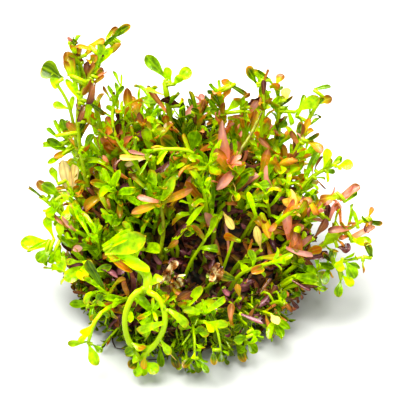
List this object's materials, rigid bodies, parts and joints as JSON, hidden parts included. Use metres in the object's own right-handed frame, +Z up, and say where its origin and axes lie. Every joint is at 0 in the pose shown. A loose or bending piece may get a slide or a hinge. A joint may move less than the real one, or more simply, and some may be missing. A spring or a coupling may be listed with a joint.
{
  "type": "dwarf rotala clump",
  "caption": "Loose round clump of small leafy aquatic stems, lime green to pink-red, grown together over a flat mat of roots on which it stands, for planting in an aquarium.",
  "frame": {"origin": "centre of the root mat's flat underside, on the surface that the clump stands on", "axes": "+Z up, along the way the shoots grow; -Y is the front, where the hollow and the two looped stems are; +X to the right as seen from the front"},
  "size_m": [0.1027, 0.0793, 0.0719],
  "materials": {
    "roots": "wet matted fibre",
    "undergrowth": "moist leaves with air between them",
    "lime_leaf": "moist, slightly glossy leaf",
    "green_leaf": "moist, slightly glossy leaf",
    "olive_leaf": "moist, slightly glossy leaf",
    "red_leaf": "moist, slightly glossy leaf",
    "pink_leaf": "moist, slightly glossy leaf"
  },
  "bodies": {
    "root": {"root_mat": "roots", "undergrowth": "undergrowth", "shoot_tall_left": "olive_leaf", "shoot_tall_leaf": "olive_leaf", "shoot_tall_bud": "green_leaf", "shoot_slender": "lime_leaf", "shoot_olive_slant": "olive_leaf", "shoot_left_rear": "lime_leaf", "shoot_left_fan": "lime_leaf", "shoot_left_upright": "lime_leaf", "shoot_left_middle": "lime_leaf", "shoot_left_low": "lime_leaf", "shoot_left_drooping": "lime_leaf", "shoot_front_corner": "lime_leaf", "shoot_front_left": "lime_leaf", "shoot_loop_left": "lime_leaf", "shoot_loop_right": "lime_leaf", "shoot_front_lime": "lime_leaf", "shoot_hollow_left": "olive_leaf", "shoot_hollow_middle": "green_leaf", "shoot_hollow_right": "green_leaf", "shoot_hollow_low": "lime_leaf", "shoot_arching": "green_leaf", "shoot_back_trio": "lime_leaf", "shoot_back_red": "red_leaf", "shoot_back_middle": "red_leaf", "shoot_crest_left": "lime_leaf", "shoot_crest_middle": "green_leaf", "shoot_crest_right": "lime_leaf", "shoot_crest_far": "lime_leaf", "shoot_right_reach": "lime_leaf", "shoot_right_upright": "lime_leaf", "shoot_right_branch": "lime_leaf", "shoot_right_pink": "pink_leaf", "shoot_right_tip": "pink_leaf", "shoot_right_green": "green_leaf", "shoot_right_droop": "green_leaf", "shoot_right_low": "lime_leaf", "shoot_right_brown": "red_leaf", "shoot_coral": "pink_leaf", "shoot_front_right": "green_leaf", "shoot_front_middle": "green_leaf", "shoot_front_low": "lime_leaf", "shoot_middle_pink": "pink_leaf", "shoot_middle_lime": "lime_leaf", "shoot_rear_left": "green_leaf", "shoot_rear_middle": "lime_leaf", "shoot_rear_drooping": "green_leaf", "shoot_rear_right": "lime_leaf"}
  },
  "joints": []
}
